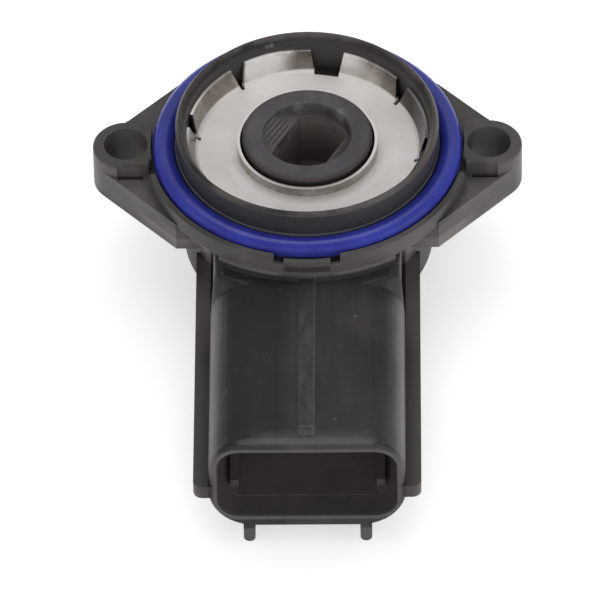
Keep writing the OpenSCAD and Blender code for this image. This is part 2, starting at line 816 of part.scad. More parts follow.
module element_board() {
    color([0.86, 0.84, 0.78]) difference() {
        translate([0, 0, floor_z]) cylinder(r = board_r, h = board_t);
        translate([0, 0, floor_z - 1]) cylinder(r = bearing_r + bearing_wall + 0.15, h = board_t + 2);
        for (a = [rib_1, rib_2]) {
            slack = asin(board_slack / rib_inner_r);
            translate([0, 0, floor_z - 1]) arc_bar(rib_inner_r - board_slack, board_r + 1, board_t + 2,
                a - rib_angle / 2 - slack, a + rib_angle / 2 + slack);
        }
        for (i = [-1:1])
            translate([i * pitch, pin_y(i), floor_z])
                cube([pin_w + 0.2, pin_w + 0.2, 3 * board_t], center = true);
    }
}

pin_angle = atan2(pin_y(1), pitch);
pad_half = 5;

module resistor_track() {
    color([0.10, 0.10, 0.11]) translate([0, 0, board_z])
        arc_bar(resistor_r - track_w / 2, resistor_r + track_w / 2, print_t,
            pin_angle + pad_half, 180 - pin_angle - pad_half);
}

// The collector ring with its strip to the middle pin, and a pad at each end of the resistor
module conductor_track() {
    pad_end = pad_r + 0.9;
    color([0.62, 0.60, 0.55]) translate([0, 0, board_z]) difference() {
        union() {
            arc_bar(collector_r - track_w / 2, collector_r + track_w / 2, print_t, -90, 220);
            translate([-track_w / 2, -pad_end, 0]) cube([track_w, pad_end - collector_r, print_t]);
            for (a = [pin_angle, 180 - pin_angle])
                arc_bar(resistor_r - track_w / 2, pad_end, print_t, a - pad_half, a + pad_half);
        }
        for (i = [-1:1])
            translate([i * pitch, pin_y(i), 0]) cube([pin_w + 0.2, pin_w + 0.2, 2], center = true);
    }
}

// Terminals: blade, riser, run under the board and a pin up through it

function pin_y(i) = -sqrt(pad_r * pad_r - pow(i * pitch, 2));

module terminal(i) {
    blade_z = shroud_z;
    x = i * pitch;
    point = 0.8;
    translate([x - blade_w / 2, 0, 0]) rotate([90, 0, 90]) linear_extrude(blade_w) polygon([
        [blade_tip_y, blade_z - blade_t / 2 + 0.2], [blade_tip_y, blade_z + blade_t / 2 - 0.2],
        [blade_tip_y + point, blade_z + blade_t / 2], [riser_y, blade_z + blade_t / 2],
        [riser_y, run_z - blade_t / 2], [riser_y - blade_t, run_z - blade_t / 2],
        [riser_y - blade_t, blade_z - blade_t / 2], [blade_tip_y + point, blade_z - blade_t / 2]
    ]);
    translate([x - pin_w / 2, riser_y - eps, run_z - blade_t / 2])
        cube([pin_w, pin_y(i) + pin_w / 2 - riser_y + eps, blade_t]);
    translate([x - pin_w / 2, pin_y(i) - pin_w / 2, run_z - blade_t / 2])
        cube([pin_w, pin_w, pin_top - run_z + blade_t / 2]);
}

module terminal_supply() {
    color([0.80, 0.79, 0.74]) terminal(-1);
}

module terminal_signal() {
    color([0.80, 0.79, 0.74]) terminal(0);
}

module terminal_ground() {
    color([0.80, 0.79, 0.74]) terminal(1);
}

// A round cone of solder round each pin on the board
module solder_joints() {
    solder_r = 1;
    color([0.72, 0.72, 0.74])
        for (i = [-1:1])
            translate([i * pitch, pin_y(i), print_z]) difference() {
                cylinder(r1 = solder_r, r2 = solder_r * 0.7, h = pin_top - print_z - 0.05);
                cube([pin_w, pin_w, 4 * solder_r], center = true);
            }
}

housing();
o_ring();
retainer_plate();
rotor();
wave_washer();
return_spring();
wiper();
element_board();
resistor_track();
conductor_track();
terminal_supply();
terminal_signal();
terminal_ground();
solder_joints();
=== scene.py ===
# Throttle position sensor on a pale floor, seen from the front and above.
import json
import math
from types import SimpleNamespace

import bmesh
import bpy
from mathutils import Matrix, Vector


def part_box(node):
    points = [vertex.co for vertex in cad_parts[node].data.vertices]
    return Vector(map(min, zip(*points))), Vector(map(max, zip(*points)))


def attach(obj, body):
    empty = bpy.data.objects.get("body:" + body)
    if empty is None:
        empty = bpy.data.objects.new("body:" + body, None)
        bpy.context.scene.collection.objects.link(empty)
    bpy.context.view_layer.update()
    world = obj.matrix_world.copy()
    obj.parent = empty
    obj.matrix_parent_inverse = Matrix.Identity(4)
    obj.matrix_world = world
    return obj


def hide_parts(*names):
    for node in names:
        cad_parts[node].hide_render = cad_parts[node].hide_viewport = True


MM = 0.001

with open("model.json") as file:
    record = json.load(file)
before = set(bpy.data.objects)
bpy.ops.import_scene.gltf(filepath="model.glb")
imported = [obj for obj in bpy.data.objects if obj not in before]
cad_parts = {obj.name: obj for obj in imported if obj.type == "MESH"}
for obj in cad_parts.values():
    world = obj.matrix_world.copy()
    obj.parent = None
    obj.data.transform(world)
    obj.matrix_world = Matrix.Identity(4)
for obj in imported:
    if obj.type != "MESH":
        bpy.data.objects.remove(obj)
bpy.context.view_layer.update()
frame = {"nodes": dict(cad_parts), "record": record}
nodes = frame["nodes"]
scene = bpy.context.scene

SLOT_OF = {part["node"]: part["material_slot"] for part in frame["record"]["subparts"]}
BODY_OF = {node: body
           for body, members in frame["record"]["behaviour"]["bodies"].items()
           for node in members}


# Camera: a long lens, at the angle and the framing of the photograph

def look(elevation, azimuth, roll, aim, distance):
    """A camera matrix. At azimuth 0 the camera is on the -Y side. A negative roll lifts the right side."""
    level_reach = math.cos(elevation)
    back = Vector((math.sin(azimuth) * level_reach, -math.cos(azimuth) * level_reach, math.sin(elevation)))
    level = Vector((0, 0, 1)).cross(back).normalized()
    above = back.cross(level)
    right = level * math.cos(roll) + above * math.sin(roll)
    up = back.cross(right)
    matrix = Matrix((right, up, back)).transposed().to_4x4()
    matrix.translation = aim + back * distance
    return matrix


def make_camera():
    elevation, azimuth, roll = (math.radians(degrees) for degrees in (45.53, 1.02, -1.10))
    aim = Vector((-0.78, -26.61, 0)) * MM
    distance = 1143 * MM
    camera_data = bpy.data.cameras.new("photo_camera")
    camera_data.sensor_width = 36
    camera_data.lens = 575.5
    camera_data.clip_end = 20
    camera = bpy.data.objects.new("photo_camera", camera_data)
    camera.matrix_world = look(elevation, azimuth, roll, aim, distance)
    scene.collection.objects.link(camera)
    scene.camera = camera


# Meshes

def add_object(name, mesh):
    piece = bpy.data.objects.new(name, mesh)
    scene.collection.objects.link(piece)
    return piece


def shade_smooth(mesh):
    mesh.polygons.foreach_set("use_smooth", [True] * len(mesh.polygons))


def apply_modifiers(piece):
    """Replaces an object's mesh by the shape that its modifiers give."""
    bpy.context.view_layer.update()
    shown = piece.evaluated_get(bpy.context.evaluated_depsgraph_get())
    mesh = bpy.data.meshes.new_from_object(shown)
    piece.modifiers.clear()
    piece.data = mesh


def merged_mesh(node, name):
    """A copy of a frame node's mesh with its flat faces merged."""
    same_point = 0.0005 * MM
    flat_angle = math.radians(0.6)
    shape = bmesh.new()
    shape.from_mesh(nodes[node].data)
    bmesh.ops.remove_doubles(shape, verts=shape.verts, dist=same_point)
    bmesh.ops.dissolve_limit(shape, angle_limit=flat_angle, verts=shape.verts, edges=shape.edges)
    mesh = bpy.data.meshes.new(name)
    shape.to_mesh(mesh)
    shape.free()
    return mesh


def round_edges(piece, width, segments):
    """Rounds off the edges between faces that meet at more than the hard angle."""
    hard_angle = math.radians(30)
    rounding = piece.modifiers.new("rounding", "BEVEL")
    rounding.width = width
    rounding.segments = segments
    rounding.limit_method = "ANGLE"
    rounding.angle_limit = hard_angle
    rounding.use_clamp_overlap = True
    rounding.miter_outer = "MITER_ARC"
    apply_modifiers(piece)


def even_shading(piece):
    """Smooth shading in which the large faces look flat and the sharp edges stay sharp."""
    sharp_angle = math.radians(38)
    shade_smooth(piece.data)
    piece.data.set_sharp_from_angle(angle=sharp_angle)
    shading = piece.modifiers.new("shading", "WEIGHTED_NORMAL")
    shading.mode = "FACE_AREA"
    shading.weight = 50
    shading.keep_sharp = True
    apply_modifiers(piece)


def detailed_copy(node, name, body, bevel, segments):
    """A copy of a frame node whose flat faces are merged and whose hard edges are rounded off."""
    piece = add_object(name, merged_mesh(node, name))
    round_edges(piece, bevel, segments)
    even_shading(piece)
    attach(piece, body)
    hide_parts(node)
    return piece


# Shader nodes

def feed(tree, socket, value):
    """Gives an input its value: a number or colour, or another node's socket."""
    if isinstance(value, bpy.types.NodeSocket):
        tree.links.new(value, socket)
    else:
        socket.default_value = value


def add_node(tree, kind, settings=None, **inputs):
    """A shader node with its inputs by name. In the name of an input, _ stands for a space."""
    made = tree.nodes.new(kind)
    for name, value in (settings or {}).items():
        setattr(made, name, value)
    for name, value in inputs.items():
        feed(tree, made.inputs[name.replace("_", " ")], value)
    return made


def maths(tree, operation, first, second=0.0):
    made = tree.nodes.new("ShaderNodeMath")
    made.operation = operation
    for socket, value in zip(made.inputs, (first, second)):
        feed(tree, socket, value)
    return made.outputs["Value"]


def vector_maths(tree, operation, output, first, second=None):
    made = add_node(tree, "ShaderNodeVectorMath", {"operation": operation})
    feed(tree, made.inputs[0], first)
    if second is not None:
        feed(tree, made.inputs[1], second)
    return made.outputs[output]


def product(tree, first, second):
    return maths(tree, "MULTIPLY", first, second)


def total(tree, first, second):
    return maths(tree, "ADD", first, second)


def spread(tree, value, low, high, to_low, to_high):
    """Maps the range from low to high onto that from to_low to to_high, and holds still beyond both."""
    made = add_node(tree, "ShaderNodeMapRange", Value=value, From_Min=low, From_Max=high,
                    To_Min=to_low, To_Max=to_high)
    return made.outputs["Result"]


def noise(tree, place, scale, detail=3.0, roughness=0.55, distortion=0.0):
    made = add_node(tree, "ShaderNodeTexNoise", Vector=place, Scale=scale, Detail=detail,
                    Roughness=roughness, Distortion=distortion)
    return made.outputs["Fac"]


def turned(tree, place, angle):
    made = add_node(tree, "ShaderNodeVectorRotate", {"rotation_type": "Z_AXIS"},
                    Vector=place, Angle=angle)
    return made.outputs["Vector"]


def streaked(tree, place, fineness, **settings):
    """A noise with a fineness of its own along X, Y and Z. Its streaks run where that is lowest."""
    stretched = add_node(tree, "ShaderNodeMapping", Vector=place, Scale=fineness).outputs["Vector"]
    return noise(tree, stretched, 1.0, **settings)


def bump(tree, height, distance, strength, under=None):
    made = add_node(tree, "ShaderNodeBump", Height=height, Distance=distance, Strength=strength)
    if under is not None:
        tree.links.new(under, made.inputs["Normal"])
    return made.outputs["Normal"]


def scratches(tree, place, scale, turn, cut):
    """Fine straight scratches: long thin streaks of a stretched noise, 1 on a scratch and 0 beside it."""
    lengthwise = scale / 14
    soft_edge = 0.04
    lines = streaked(tree, turned(tree, place, turn), (scale, lengthwise, lengthwise),
                     detail=2.0, roughness=0.5, distortion=0.4)
    return spread(tree, lines, cut, cut + soft_edge, 0.0, 1.0)


def specks(tree, place, scale, size):
    """Small round flecks of dust and nicks."""
    dots = add_node(tree, "ShaderNodeTexVoronoi", {"feature": "F1"},
                    Vector=place, Scale=scale, Randomness=1.0)
    return spread(tree, dots.outputs["Distance"], size * 0.5, size, 1.0, 0.0)


# Colours

def opaque(colour):
    """A colour with full alpha. A node's socket stays as it is."""
    return (*colour, 1) if isinstance(colour, tuple) else colour


def mixed(tree, share, first, second, blend="MIX"):
    made = add_node(tree, "ShaderNodeMixRGB", {"blend_type": blend},
                    Fac=share, Color1=opaque(first), Color2=opaque(second))
    return made.outputs["Color"]


def painted(tree, colour, mask, paint, strength=1.0):
    """A colour with a paint laid over it wherever the mask is 1."""
    share = mask if strength == 1.0 else product(tree, mask, strength)
    return mixed(tree, share, colour, paint)


def ramp(tree, value, low, high, tones):
    """Goes from the first tone to the second while a value goes from low to high."""
    made = add_node(tree, "ShaderNodeValToRGB", Fac=value)
    for element, stop, tone in zip(made.color_ramp.elements, (low, high), tones):
        element.position = stop
        element.color = opaque(tone)
    return made.outputs["Color"]


# Masks by place; the sizes and places that they take are in millimetres

def position(tree, place):
    """A point's X, Y and Z, its distance from the middle plane and its distance from the rotor's axis."""
    parts = add_node(tree, "ShaderNodeSeparateXYZ", Vector=place).outputs
    level = vector_maths(tree, "MULTIPLY", "Vector", place, (1, 1, 0))
    return SimpleNamespace(across=parts["X"], along=parts["Y"], height=parts["Z"],
                           aside=maths(tree, "ABSOLUTE", parts["X"]),
                           radius=vector_maths(tree, "LENGTH", "Value", level))


def fade(tree, value, start, end, before, after):
    """Goes from one share to another while a value goes from start to end."""
    return spread(tree, value, start * MM, end * MM, before, after)


def rise(tree, value, start, end, top=1.0):
    return fade(tree, value, start, end, 0.0, top)


def fall(tree, value, start, end, rest=0.0):
    return fade(tree, value, start, end, 1.0, rest)


def within(tree, value, low, high, edge):
    """1 where a value lies between two bounds, fading over a soft edge outside them."""
    return product(tree, rise(tree, value, low - edge, low), fall(tree, value, high, high + edge))


def near(tree, place, spot, size, edge):
    """1 within a distance of a point, fading over a soft edge."""
    away = vector_maths(tree, "DISTANCE", "Value", place, Vector(spot) * MM)
    return fall(tree, away, size, size + edge)


def all_of(tree, *masks):
    found = masks[0]
    for mask in masks[1:]:
        found = product(tree, found, mask)
    return found


def any_of(tree, *masks):
    found = masks[0]
    for mask in masks[1:]:
        found = maths(tree, "MAXIMUM", found, mask)
    return found


# Materials

def new_material(name, **sockets):
    """A material, its node tree and its shader, with some of the shader's sockets set by name."""
    material = bpy.data.materials.new(name)
    material.use_nodes = True
    tree = material.node_tree
    shader = tree.nodes["Principled BSDF"]
    connect(tree, shader, **sockets)
    return material, tree, shader


def place_on_part(tree):
    return tree.nodes.new("ShaderNodeTexCoord").outputs["Object"]


def connect(tree, shader, **sockets):
    """Gives a shader's sockets their values by name. In a name, _ stands for a space."""
    for name, value in sockets.items():
        feed(tree, shader.inputs[name.replace("_", " ")], value)


def moulded_black(name, tones, roughness, tint):
    """Glass-filled moulding with flow streaks, fine grain, handling marks and dust, and a tint by place that
    also paints light and shade.
    """
    scratch_tone = (0.07, 0.065, 0.06)
    dust_tone = (0.11, 0.10, 0.09)
    cloud_share = 0.72
    material, tree, shader = new_material(name, Specular_IOR_Level=0.3)
    place = place_on_part(tree)
    clouds = noise(tree, place, 95.0, detail=4.0, roughness=0.6, distortion=0.8)
    streaks = streaked(tree, place, (900, 90, 500), roughness=0.6)
    tone = total(tree, product(tree, clouds, cloud_share), product(tree, streaks, 1 - cloud_share))
    worn = any_of(tree, scratches(tree, place, scale=3600, turn=0.5, cut=0.71),
                  scratches(tree, place, scale=3100, turn=-0.9, cut=0.72))
    dust = product(tree, specks(tree, place, scale=520.0, size=0.16),
                   spread(tree, clouds, 0.5, 0.62, 0.0, 1.0))

    colour = ramp(tree, tone, 0.34, 0.66, tones)
    colour = tint(tree, place, clouds, tone, colour)
    colour = painted(tree, colour, worn, scratch_tone, strength=0.3)
    colour = painted(tree, colour, dust, dust_tone, strength=0.3)

    sheen = total(tree, spread(tree, tone, 0.3, 0.7, roughness + 0.07, roughness - 0.07),
                  product(tree, worn, 0.12))
    grain = noise(tree, place, 5200.0, detail=2.0, roughness=0.6)
    waves = noise(tree, place, 420.0, detail=2.0, roughness=0.5)
    normal = bump(tree, grain, 0.006 * MM, strength=0.6)
    normal = bump(tree, waves, 0.05 * MM, strength=0.35, under=normal)
    normal = bump(tree, worn, -0.008 * MM, strength=0.4, under=normal)
    connect(tree, shader, Base_Color=colour, Roughness=sheen, Normal=normal)
    return material


def housing_tint(tree, place, clouds, tone, colour):
    """What the chance patterns leave out: how the moulding's tone differs from place to place, with painted
    light, shade and highlights among it.
    """
    where = position(tree, place)
    jitter = product(tree, maths(tree, "SUBTRACT", clouds, 0.5), 2.4 * MM)
    on_top = within(tree, where.height, -3.6, 0.0, edge=0.1)
    front = fall(tree, where.along, -6.0, 0.0)
    on_flange = rise(tree, where.height, -2.9, -2.5)
    colour = left_half_shade_tint(tree, where, jitter, tone, colour)
    colour = strip_tint(tree, place, where, on_top, jitter, colour)
    colour = corner_highlight_and_shoulder_shade_tint(tree, where, colour)
    colour = mouth_tint(tree, where, tone, colour)
    colour = film_tint(tree, where, on_flange, jitter, tone, colour)
    colour = collar_tint(tree, place, where, colour)
    colour = flange_tint(tree, where, front, on_flange, colour)
    return side_tint(tree, where, front, colour)


def left_half_shade_tint(tree, where, jitter, tone, colour):
    """The left half of the connector, painted darker as shade where the light falls from the right."""
    # Painted shade: the left half is darker because of how the light falls.
    left_shade_tones = (0.0046, 0.0050, 0.0042), (0.0138, 0.0138, 0.0124)
    left_half = fall(tree, total(tree, where.across, jitter), -3.4, -1.6)
    return painted(tree, colour, left_half, ramp(tree, tone, 0.34, 0.66, left_shade_tones))


def strip_tint(tree, place, where, on_top, jitter, colour):
    """The mottled strip down the shroud with a painted highlight along its edge, its gate mark, and the
    scuffs by the mouth.
    """
    strip_x = 1.0
    strip_tones = (0.025, 0.0235, 0.0225), (0.052, 0.047, 0.046)
    edge_tone = (0.068, 0.062, 0.061)
    scuff_tones = (0.060, 0.056, 0.055), (0.100, 0.094, 0.094)
    dot_tone = (0.15, 0.14, 0.135)
    mottle = streaked(tree, place, (900, 420, 900), roughness=0.65)

    beyond_neck = fall(tree, where.along, -27.0, -24.0)
    on_strip = all_of(tree, within(tree, where.across, -strip_x, strip_x, edge=0.04), on_top, beyond_neck)
    colour = painted(tree, colour, on_strip, ramp(tree, mottle, 0.34, 0.66, strip_tones))
    # Painted highlight: a lighter line along the strip's right edge, where side light catches it.
    strip_highlight_line = all_of(tree, within(tree, where.across, 0.80, 1.02, edge=0.08), on_top)
    colour = painted(tree, colour, strip_highlight_line, edge_tone, strength=0.45)

    by_mouth = fall(tree, total(tree, where.along, jitter), -46.6, -44.6)
    scuffed = all_of(tree, on_top, by_mouth, within(tree, where.across, -5.0, 9.0, edge=2.0))
    gate = all_of(tree, on_top, within(tree, where.across, -strip_x, strip_x, edge=0.2),
                  within(tree, where.along, -46.2, -44.3, edge=0.2))
    scuffed_or_gate = any_of(tree, scuffed, gate)
    colour = painted(tree, colour, scuffed_or_gate, ramp(tree, mottle, 0.3, 0.7, scuff_tones), strength=0.75)

    upper_dot = near(tree, place, (5.8, -26.1, -3.3), size=0.1, edge=0.2)
    lower_dot = near(tree, place, (3.4, -43.1, -3.3), size=0.08, edge=0.16)
    return painted(tree, colour, any_of(tree, upper_dot, lower_dot), dot_tone, strength=0.55)


def corner_highlight_and_shoulder_shade_tint(tree, where, colour):
    """The shroud's rounded corners painted pale as highlights, and its shoulders beside the neck painted
    darker as shade.
    """
    corner_highlight_tone = (0.110, 0.103, 0.100)
    shoulder_shade_tone = (0.010, 0.0093, 0.0088)
    # Painted highlight on the shroud's rounded corners.
    corner = all_of(tree, rise(tree, where.aside, 10.3, 11.3), fall(tree, where.aside, 11.4, 11.8),
                    fall(tree, where.along, -22.5, -20.5, rest=0.2),
                    within(tree, where.height, -9.0, -3.0, edge=2.0))
    colour = painted(tree, colour, corner, corner_highlight_tone, strength=0.8)
    # Painted shade on the shoulders beside the neck.
    shoulder_shade = all_of(tree, within(tree, where.aside, 5.0, 10.7, edge=0.6),
                      within(tree, where.along, -22.6, -18.0, edge=0.8),
                      within(tree, where.height, -7.5, -3.2, edge=0.3))
    return painted(tree, colour, shoulder_shade, shoulder_shade_tone, strength=0.4)


def beyond_opening(tree, where):
    """The distance from the socket's opening, a rectangle with round corners. It is negative inside."""
    wall_x = 10.6 * MM
    wall_top = -5.3 * MM
    wall_bottom = -16.0 * MM
    corner_r = 2.6 * MM
    middle = (wall_top + wall_bottom) / 2
    from_middle = maths(tree, "ABSOLUTE", maths(tree, "SUBTRACT", where.height, middle))
    squares = []
    for distance, half in ((where.aside, wall_x), (from_middle, wall_top - middle)):
        past_corner = maths(tree, "MAXIMUM", maths(tree, "SUBTRACT", distance, half - corner_r), 0.0)
        squares.append(product(tree, past_corner, past_corner))
    return maths(tree, "SUBTRACT", maths(tree, "SQRT", total(tree, *squares)), corner_r)


def mouth_tint(tree, where, tone, colour):
    """Two painted highlight lines round the connector's mouth, and the walls inside painted lighter as
    light, paler towards the back.
    """
    mouth_highlight_tones = (0.066, 0.062, 0.061), (0.098, 0.091, 0.090)
    socket_light_tones = (0.044, 0.040, 0.039), (0.070, 0.064, 0.062)
    deep_socket_light_tones = (0.105, 0.092, 0.090), (0.150, 0.134, 0.130)
    mouth_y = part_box("housing")[0].y / MM
    from_opening = beyond_opening(tree, where)

    # Painted highlights on the rounded edges round the mouth.
    at_mouth = fall(tree, where.along, mouth_y + 0.5, mouth_y + 0.8)
    inner_highlight_line = all_of(tree, at_mouth, within(tree, from_opening, 0.0, 0.5, edge=0.25))
    outer_highlight_line = all_of(tree, at_mouth, rise(tree, where.height, -4.0, -3.7))
    lines = any_of(tree, inner_highlight_line, product(tree, outer_highlight_line, 0.8))
    colour = painted(tree, colour, lines, ramp(tree, tone, 0.35, 0.65, mouth_highlight_tones), strength=0.85)

    # Painted light on the walls inside the socket, where shade would fall.
    behind_mouth = rise(tree, where.along, mouth_y + 0.4, mouth_y + 0.6)
    inside = all_of(tree, behind_mouth, fall(tree, from_opening, 0.25, 0.4),
                    fall(tree, where.along, -27.0, -26.0))
    painted_socket_light = mixed(tree, rise(tree, where.along, mouth_y, mouth_y + 9.0),
                  ramp(tree, tone, 0.3, 0.7, socket_light_tones), ramp(tree, tone, 0.3, 0.7, deep_socket_light_tones))
    return painted(tree, colour, inside, painted_socket_light)


def film_tint(tree, where, on_flange, jitter, tone, colour):
    """The matt film on the ears, the flange and the collar's top."""
    film_tones = (0.066, 0.061, 0.058), (0.098, 0.090, 0.087)
    collar_tones = (0.072, 0.060, 0.054), (0.106, 0.088, 0.080)
    outside_collar = rise(tree, where.radius, 16.0, 16.3)
    on_ear = rise(tree, total(tree, where.aside, jitter), 13.6, 14.8)
    film = all_of(tree, outside_collar, any_of(tree, on_ear, on_flange))
    colour = painted(tree, colour, film, ramp(tree, tone, 0.3, 0.7, film_tones))
    on_collar = all_of(tree, rise(tree, total(tree, where.height, jitter), 3.2, 3.7, top=0.8),
                       fade(tree, where.across, -13.5, -8.0, 0.5, 1.0))
    return painted(tree, colour, on_collar, ramp(tree, tone, 0.3, 0.7, collar_tones))


def collar_tint(tree, place, where, colour):
    """The collar's outer wall, a painted highlight line at its foot, its inner wall and a painted glint on
    that.
    """
    wall_tone = (0.060, 0.056, 0.060)
    collar_foot_highlight_tone = (0.135, 0.140, 0.160)
    inner_tone = (0.054, 0.051, 0.048)
    collar_glint_tone = (0.34, 0.32, 0.36)
    outer_wall = all_of(tree, within(tree, where.radius, 15.6, 16.1, edge=0.05),
                        within(tree, where.height, 0.3, 3.3, edge=0.2))
    colour = painted(tree, colour, outer_wall, wall_tone, strength=0.45)
    # Painted highlight: a pale line at the collar's foot, laid over the shade between the collar and the
    # ring.
    collar_foot_highlight = all_of(tree, within(tree, where.radius, 15.9, 16.2, edge=0.1),
                       within(tree, where.height, 0.05, 0.35, edge=0.15))
    colour = painted(tree, colour, collar_foot_highlight, collar_foot_highlight_tone, strength=0.9)
    inner_wall = all_of(tree, within(tree, where.radius, 14.2, 14.9, edge=0.1),
                        within(tree, where.height, -1.0, 3.4, edge=0.3))
    colour = painted(tree, colour, inner_wall, inner_tone, strength=0.8)
    # Painted glint on the collar's inner wall.
    collar_glint = any_of(tree, *(near(tree, place, spot, size=0.1, edge=0.45)
                           for spot in ((-4.3, 13.9, 2.9), (-4.8, 13.7, 2.9))))
    return painted(tree, colour, collar_glint, collar_glint_tone, strength=0.85)


def flange_tint(tree, where, front, on_flange, colour):
    """The flange's lip painted lighter at the front as light, a painted highlight line along its lower edge,
    darker ground beside the ring, and the darker tab.
    """
    lip_light_tone = (0.125, 0.116, 0.112)
    lower_highlight_tone = (0.135, 0.128, 0.128)
    ground_tone = (0.039, 0.0365, 0.034)
    tab_tone = (0.034, 0.032, 0.026)
    tab_x = 2.6
    # Painted light: the lip is lighter only at the front, where the front light falls.
    lip = all_of(tree, front, on_flange, rise(tree, where.radius, 18.6, 19.0, top=0.35),
                 fall(tree, where.height, -0.9, 0.0))
    colour = painted(tree, colour, lip, lip_light_tone)
    # Painted highlight along the flange's lower edge.
    lower_highlight_line = all_of(tree, within(tree, where.height, -2.95, -2.75, edge=0.12),
                        rise(tree, where.radius, 19.0, 19.2), fall(tree, where.along, -13.5, -12.0),
                        fade(tree, where.aside, 2.8, 3.8, 0.3, 1.0))
    colour = painted(tree, colour, lower_highlight_line, lower_highlight_tone, strength=0.5)

    off_middle = any_of(tree, fall(tree, where.across, -10.0, -7.5), rise(tree, where.across, 13.0, 15.5))
    beside_ring = all_of(tree, within(tree, where.radius, 17.0, 20.3, edge=0.5),
                         rise(tree, where.height, -2.9, -2.6), off_middle,
                         fall(tree, where.along, 2.0, 6.0, rest=0.3),
                         fall(tree, where.aside, 16.5, 18.5, rest=0.5))
    right_web = all_of(tree, within(tree, where.across, 15.5, 21.0, edge=1.2),
                       within(tree, where.along, -4.5, 1.0, edge=2.0),
                       rise(tree, where.height, -2.9, -2.6, top=0.6))
    colour = painted(tree, colour, any_of(tree, beside_ring, right_web), ground_tone, strength=0.85)

    on_tab = all_of(tree, within(tree, where.across, -tab_x, tab_x, edge=0.3),
                    within(tree, where.height, -2.3, -1.55, edge=0.2), fall(tree, where.along, -19.2, -18.8))
    return painted(tree, colour, on_tab, tab_tone, strength=0.8)


def side_tint(tree, where, front, colour):
    """The side rails, paler towards their outer edge and painted lighter as light towards the back under the
    flange, the left sides of the cup and the ear painted darker as shade, and the pale guide ribs.
    """
    rail_tone = (0.048, 0.043, 0.041)
    outer_rail_tone = (0.086, 0.076, 0.072)
    rail_light_tone = (0.170, 0.155, 0.148)
    cup_shade_tone = (0.009, 0.0083, 0.0083)
    ear_shade_tone = (0.025, 0.023, 0.021)
    rib_tone = (0.095, 0.092, 0.092)
    on_rail = all_of(tree, rise(tree, where.aside, 11.75, 11.85), fall(tree, where.along, -9.0, -7.0),
                     fall(tree, where.height, -4.5, -4.0))
    rail = mixed(tree, rise(tree, where.aside, 12.2, 13.4), rail_tone, outer_rail_tone)
    # Painted light on the rails towards the back, where the cup and the flange shade them.
    rail = mixed(tree, rise(tree, where.along, -25.0, -16.0), rail, rail_light_tone)
    colour = painted(tree, colour, on_rail, rail, strength=0.75)
    # Painted shade on the left side of the cup.
    shaded_cup_side = all_of(tree, fall(tree, where.across, -13.5, -12.0), fall(tree, where.height, -5.5, -4.5),
                      rise(tree, where.along, -13.0, -11.0))
    colour = painted(tree, colour, shaded_cup_side, cup_shade_tone, strength=0.5)
    # Painted shade on the left ear.
    shaded_left_ear = all_of(tree, fall(tree, where.across, -20.0, -18.0), rise(tree, where.height, -0.5, -0.2))
    colour = painted(tree, colour, shaded_left_ear, ear_shade_tone, strength=0.3)
    on_rib = all_of(tree, fall(tree, where.height, -18.3, -18.0), front)
    return painted(tree, colour, on_rib, rib_tone, strength=0.7)


def rotor_tint(tree, place, clouds, tone, colour):
    """The hub's side painted darker as shade, its brown edge, ridges at the lead-in painted lighter as
    light, painted highlights at the lead-in, and the socket painted paler as light inside.
    """
    hub_top = 1.5
    hub_r = 7.9
    bore_r = 5.4
    hub_shade_tone = (0.026, 0.022, 0.021)
    edge_tone = (0.060, 0.042, 0.036)
    rotor_socket_light_tones = (0.155, 0.134, 0.125), (0.210, 0.185, 0.174)
    ridge_and_light_tones = (0.040, 0.036, 0.037), (0.150, 0.140, 0.148)
    lead_in_highlight_tone = (0.21, 0.20, 0.205)
    ridge_angle = math.radians(30)
    where = position(tree, place)

    at_rim = rise(tree, where.radius, hub_r - 0.6, hub_r - 0.4)
    # Painted shade on the hub's side.
    side = all_of(tree, at_rim, fall(tree, where.height, hub_top - 0.30, hub_top - 0.15))
    colour = painted(tree, colour, side, hub_shade_tone)
    edge = all_of(tree, at_rim, within(tree, where.height, hub_top - 0.3, hub_top, edge=0.1),
                  spread(tree, clouds, 0.4, 0.6, 0.25, 0.8))
    colour = painted(tree, colour, edge, edge_tone)
    # Painted light inside the socket.
    in_socket = all_of(tree, fall(tree, where.radius, bore_r, bore_r + 0.2),
                       fall(tree, where.height, -1.2, 0.2))
    colour = painted(tree, colour, in_socket, ramp(tree, tone, 0.3, 0.7, rotor_socket_light_tones))

    ridges = add_node(tree, "ShaderNodeTexWave", Vector=turned(tree, place, ridge_angle), Scale=760.0,
                      Distortion=1.0, Detail=2.0, Detail_Scale=1.2).outputs["Fac"]
    # Real ridges, painted lighter as light on the lead-in facet.
    on_facet = all_of(tree, near(tree, place, (-2.9, 1.5, 0.5), size=1.7, edge=0.9),
                      fall(tree, where.height, hub_top - 0.2, hub_top - 0.05))
    colour = painted(tree, colour, on_facet, ramp(tree, ridges, 0.25, 0.8, ridge_and_light_tones), strength=0.7)
    # Painted highlights on the lead-in, broken up by blotches.
    lead_in_highlights = any_of(tree, near(tree, place, (-0.6, 4.6, 1.0), size=0.6, edge=0.8),
                    near(tree, place, (3.9, 3.7, 1.0), size=0.35, edge=0.8))
    blotches = noise(tree, place, 520.0, roughness=0.7, distortion=0.6)
    lead_in_highlights = product(tree, lead_in_highlights, spread(tree, blotches, 0.35, 0.6, 0.1, 0.9))
    return painted(tree, colour, lead_in_highlights, lead_in_highlight_tone)


